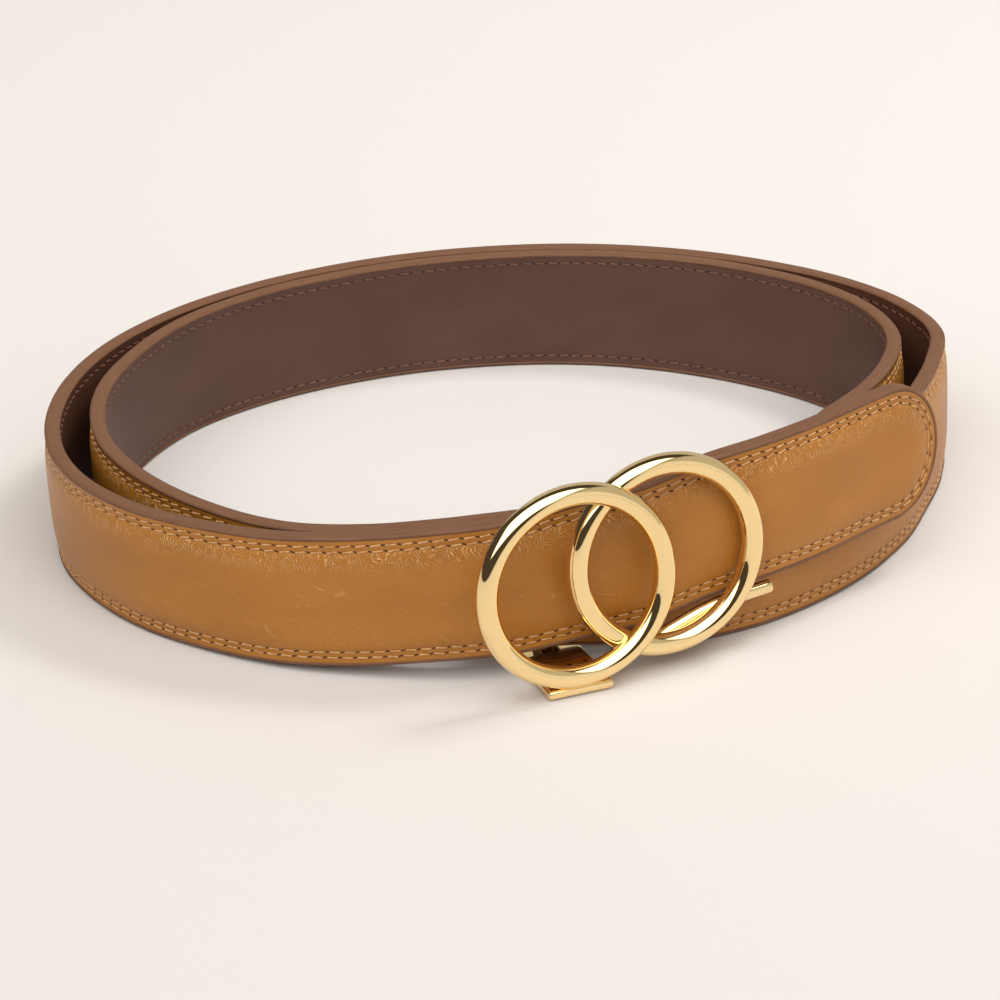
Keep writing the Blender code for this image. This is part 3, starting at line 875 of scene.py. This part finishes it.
def tan_leather():
    made, n, shader = new_material("tan_leather")
    seam_uv, seam, from_edge, plain_uv, along, height = strap_uvs(n)

    cloudy = n.noise(n.stretch(plain_uv, 0.035, 0.09), 1.0, 3.0)
    mottled = n.noise(plain_uv, 0.7, 4.0, 0.6)
    base = n.mix(n.between(cloudy, 0.3, 0.7), (0.362, 0.136, 0.010, 1), (0.420, 0.163, 0.015, 1))
    base = n.mix(n.math("MULTIPLY", mottled, 0.16), base, (0.260, 0.088, 0.006, 1))
    hole = 0.0
    channel = 0.0
    for row, shift in zip(FACE_ROWS, (0.0, ROW_SHIFT)):
        hole = n.math("MAXIMUM", hole, slits(n, seam, from_edge, row, shift))
        away = n.math("ABSOLUTE", n.math("SUBTRACT", from_edge, row))
        channel = n.math("MAXIMUM", channel, n.between(away, 0.45, 0.10))
    # Painted shade: the face is darkened along the sunken stitch channels, as if shade gathers in the
    # grooves.
    base = n.mix(n.math("MULTIPLY", channel, 0.22), base, (0.200, 0.070, 0.010, 1))
    # Painted shade: the needle holes are painted near black, the shade inside them.
    base = n.mix(n.math("MULTIPLY", hole, 0.92), base, (0.044, 0.013, 0.001, 1))
    ridges, shoulder = pucker_ridges(n, seam_uv, plain_uv, seam, from_edge, height)
    # Painted highlight: the crests of the pucker ridges are painted lighter, strongest on the upper half,
    # as if they catch the light.
    crest_highlight = n.math("MULTIPLY", n.between(ridges, 0.62, 0.96), shoulder)
    base = n.mix(n.math("MULTIPLY", crest_highlight, 0.55), base, (0.780, 0.470, 0.200, 1))
    scratches = scratch_marks(n, plain_uv, along, from_edge)
    base = n.mix(n.math("MULTIPLY", scratches, 0.24), base, (0.760, 0.430, 0.160, 1))
    n.put(shader.inputs["Base Color"], base)

    normal = n.bump(n.cells(plain_uv, 2.0, 0.6), 0.00012, 0.6)
    normal = n.bump(n.noise(plain_uv, 3.0, 3.0, 0.6), 0.00018, 0.6, normal)
    normal = n.bump(scratches, 0.00010, 0.8, normal)
    normal = n.bump(n.math("MULTIPLY", ridges, shoulder), 0.00016, 1.0, normal)
    normal = n.bump(n.math("MULTIPLY", hole, -1.0), 0.0002, 0.6, normal)
    n.put(shader.inputs["Normal"], normal)
    satin = n.math("MULTIPLY_ADD", mottled, 0.16, 0.36)
    n.put(shader.inputs["Roughness"], n.math("MULTIPLY_ADD", hole, 0.5, satin))
    shader.inputs["Specular IOR Level"].default_value = 0.42
    shader.inputs["Coat Weight"].default_value = 0.16
    shader.inputs["Coat Roughness"].default_value = 0.30
    return made


def brown_lining():
    made, n, shader = new_material("brown_lining_leather")
    seam, from_edge, plain_uv = strap_uvs(n)[1:4]
    cloudy = n.noise(n.stretch(plain_uv, 0.05, 0.09), 1.0, 3.0)
    mottled = n.noise(plain_uv, 1.6, 4.0, 0.65)
    base = n.mix(n.between(cloudy, 0.3, 0.7), (0.090, 0.036, 0.021, 1), (0.108, 0.046, 0.028, 1))
    base = n.mix(n.math("MULTIPLY", mottled, 0.35), base, (0.060, 0.026, 0.017, 1))
    hole = slits(n, seam, from_edge, LINING_ROW, 0.0)
    # Painted shade: the lining's needle holes are painted near black, the shade inside them.
    base = n.mix(n.math("MULTIPLY", hole, 0.9), base, (0.006, 0.003, 0.002, 1))
    normal = n.bump(n.cells(plain_uv, 1.7, 0.5), 0.00014, 0.6)
    normal = n.bump(n.noise(plain_uv, 3.0, 3.0, 0.6), 0.00014, 0.5, normal)
    n.put(shader.inputs["Base Color"], base)
    n.put(shader.inputs["Normal"], normal)
    n.put(shader.inputs["Roughness"], n.math("MULTIPLY_ADD", mottled, 0.16, 0.44))
    shader.inputs["Specular IOR Level"].default_value = 0.45
    return made


def edge_paint():
    made, n, shader = new_material("painted_edge")
    uv = n.add("ShaderNodeUVMap", uv_map="seam").outputs[0]
    streaks = n.noise(n.stretch(uv, 0.12, 3.2), 1.0, 3.0, 0.6)
    specks = n.noise(uv, 1.3, 3.0)
    base = n.mix(n.between(streaks, 0.35, 0.65), (0.150, 0.064, 0.028, 1), (0.190, 0.085, 0.042, 1))
    base = n.mix(n.math("MULTIPLY", specks, 0.25), base, (0.110, 0.046, 0.024, 1))
    n.put(shader.inputs["Base Color"], base)
    n.put(shader.inputs["Normal"], n.bump(streaks, 0.00009, 0.5))
    n.put(shader.inputs["Roughness"], n.math("MULTIPLY_ADD", specks, 0.15, 0.50))
    shader.inputs["Specular IOR Level"].default_value = 0.4
    return made


def thread(name, light, dark):
    made, n, shader = new_material(name)
    spot = n.add("ShaderNodeTexCoord").outputs["Object"]
    tone = n.noise(spot, 900.0, 2.0)
    fibre = n.noise(spot, 5200.0, 2.0)
    n.put(shader.inputs["Base Color"], n.mix(n.between(tone, 0.3, 0.7), light, dark))
    n.put(shader.inputs["Normal"], n.bump(fibre, 0.00006, 0.7))
    n.put(shader.inputs["Roughness"], n.math("MULTIPLY_ADD", fibre, 0.2, 0.45))
    shader.inputs["Sheen Weight"].default_value = 0.2
    return made


def polished_gold():
    made, n, shader = new_material("polished_gold")
    spot = n.add("ShaderNodeTexCoord").outputs["Object"]
    cloudy = n.noise(spot, 60.0, 2.0)
    base = n.mix(cloudy, (0.930, 0.700, 0.350, 1), (0.950, 0.735, 0.390, 1))
    n.put(shader.inputs["Base Color"], base)
    n.put(shader.inputs["Roughness"], n.math("MULTIPLY_ADD", n.noise(spot, 300.0, 2.0), 0.04, 0.03))
    shader.inputs["Metallic"].default_value = 1.0
    n.put(shader.inputs["Normal"], n.bump(n.noise(spot, 90.0, 1.0), 0.00006, 0.25))
    return made


def floor_material():
    made, n, shader = new_material("pale_floor")
    spot = n.add("ShaderNodeTexCoord").outputs["Object"]
    base = n.mix(n.noise(spot, 3.0, 2.0), (0.672, 0.636, 0.608, 1), (0.687, 0.651, 0.623, 1))
    n.put(shader.inputs["Base Color"], base)
    shader.inputs["Roughness"].default_value = 0.75
    shader.inputs["Specular IOR Level"].default_value = 0.2
    return made


def dress():
    """Every visible piece of the belt, riding on the frame."""
    face = strap_layer("strap_face_leather", 0.0, FACE_INNER_DEPTH, face_relief, None)
    lining = strap_layer(
        "strap_lining_leather", LINING_INNER_DEPTH, EDGE_THICKNESS, None, lining_relief
    )
    edge = edge_band("painted_edge")
    face_rows = []
    for number, row in enumerate(FACE_ROWS):
        for side in (-1, 1):
            face_rows.append(stitch_row(row, side, 0.0, face_relief, -1, number * 2 + side + 1))
    lining_rows = [
        stitch_row(LINING_ROW, side, EDGE_THICKNESS, lining_relief, 1, 20 + side) for side in (-1, 1)
    ]
    face_thread = stitch_mesh("face_stitches", face_rows)
    lining_thread = stitch_mesh("lining_stitches", lining_rows)
    buckle = build_buckle()

    light_tan = thread("tan_thread", (0.620, 0.350, 0.140, 1), (0.430, 0.200, 0.060, 1))
    red_brown = thread("brown_thread", (0.200, 0.075, 0.035, 1), (0.120, 0.042, 0.020, 1))
    looks = (
        (face, tan_leather(), "tan_leather"),
        (lining, brown_lining(), "brown_lining_leather"),
        (edge, edge_paint(), "brown_lining_leather"),
        (face_thread, light_tan, "tan_leather"),
        (lining_thread, red_brown, "brown_lining_leather"),
        (buckle, polished_gold(), "polished_gold"),
    )
    for piece, look, slot in looks:
        piece.data.materials.clear()
        piece.data.materials.append(look)
        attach(piece, "root")
    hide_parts("strap_face")
    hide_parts("strap_lining")
    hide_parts("double_ring_buckle")


# Camera and studio, in metres from the coil's middle
CAMERA_PLACE = (-0.2489, -0.6118, 0.3209)
CAMERA_TARGET = (-0.00249, -0.00177, 0.0)
CAMERA_LENS = 114.9
SENSOR_WIDTH = 36.0
FLOOR_REACH = 4.0
FLOOR_LEVEL = -0.0002
KEY_PLACE = (0.56, 0.04, 0.92)
KEY_SIZE = (0.28, 0.28)
KEY_WATTS = 4.2
ROOM_STRENGTH = 0.93


def put_in_scene(name, data, place_at, target):
    """An object that stands at a place and looks at a target."""
    thing = bpy.data.objects.new(name, data)
    bpy.context.scene.collection.objects.link(thing)
    thing.location = place_at
    thing.rotation_mode = "QUATERNION"
    thing.rotation_quaternion = (target - place_at).to_track_quat("-Z", "Y")
    return thing


def build_studio():
    """The camera at the photo's viewing angle, a pale floor and soft light."""
    middle = Vector(SHIFT * MM)
    lens = bpy.data.cameras.new("camera")
    lens.lens = CAMERA_LENS
    lens.sensor_width = SENSOR_WIDTH
    lens.clip_start = 0.01
    camera = put_in_scene("camera", lens, Vector(CAMERA_PLACE) + middle, Vector(CAMERA_TARGET) + middle)
    bpy.context.scene.camera = camera

    mesh = bpy.data.meshes.new("floor")
    corners = [(x * FLOOR_REACH, y * FLOOR_REACH, 0) for x, y in ((-1, -1), (1, -1), (1, 1), (-1, 1))]
    mesh.from_pydata(corners, [], [(0, 1, 2, 3)])
    floor = bpy.data.objects.new("floor", mesh)
    bpy.context.scene.collection.objects.link(floor)
    floor.location.z = FLOOR_LEVEL
    floor.data.materials.append(floor_material())

    lamp = bpy.data.lights.new("key", "AREA")
    lamp.shape = "RECTANGLE"
    lamp.size, lamp.size_y = KEY_SIZE
    lamp.energy = KEY_WATTS
    lamp.color = (1.0, 0.985, 0.96)
    key = put_in_scene("key", lamp, Vector(KEY_PLACE), Vector((0, 0, 0)))
    key.visible_glossy = False
    build_room()
    bpy.context.scene.view_settings.view_transform = "Standard"


def build_room():
    """A cream room with a broad bright window overhead, a dim wall at the left and a pale one behind."""
    world = bpy.data.worlds.new("studio")
    bpy.context.scene.world = world
    world.use_nodes = True
    n = Nodes(world.node_tree)
    # over counts degrees from the front horizon up and across to the back one
    direction = n.add("ShaderNodeTexCoord").outputs["Generated"]
    up = n.add("ShaderNodeSeparateXYZ", {"Vector": direction}).outputs[2]
    back, right = (
        n.add("ShaderNodeVectorMath", {0: direction, 1: axis}, operation="DOT_PRODUCT").outputs["Value"]
        for axis in ((0.3746, 0.9272, 0.0), (0.9272, -0.3746, 0.0))
    )
    over = n.math("MULTIPLY", n.math("ARCTAN2", up, n.math("MULTIPLY", back, -1.0)), 180 / math.pi)
    high = n.between(over, 44, 50)
    behind = n.between(over, 120, 128)
    dim = n.math("MULTIPLY", n.between(right, 0.64, 0.52), n.between(over, 132, 124))
    dim = n.math("MAXIMUM", dim, n.between(right, -0.42, -0.56))
    window = n.math("MULTIPLY", n.between(over, 25, 29), n.between(over, 92, 87))
    window = n.math("MULTIPLY", window, n.between(right, -0.76, -0.66))
    window = n.math("MULTIPLY", window, n.between(right, 0.58, 0.48))
    glow = n.mix(n.math("MAXIMUM", high, behind), (0.95, 0.92, 0.87, 1), (0.60, 0.58, 0.53, 1))
    glow = n.mix(dim, glow, (0.07, 0.06, 0.05, 1))
    glow = n.mix(window, glow, (3.02, 2.99, 2.94, 1))
    background = world.node_tree.nodes["Background"]
    n.put(background.inputs["Color"], glow)
    background.inputs["Strength"].default_value = ROOM_STRENGTH


dress()
build_studio()
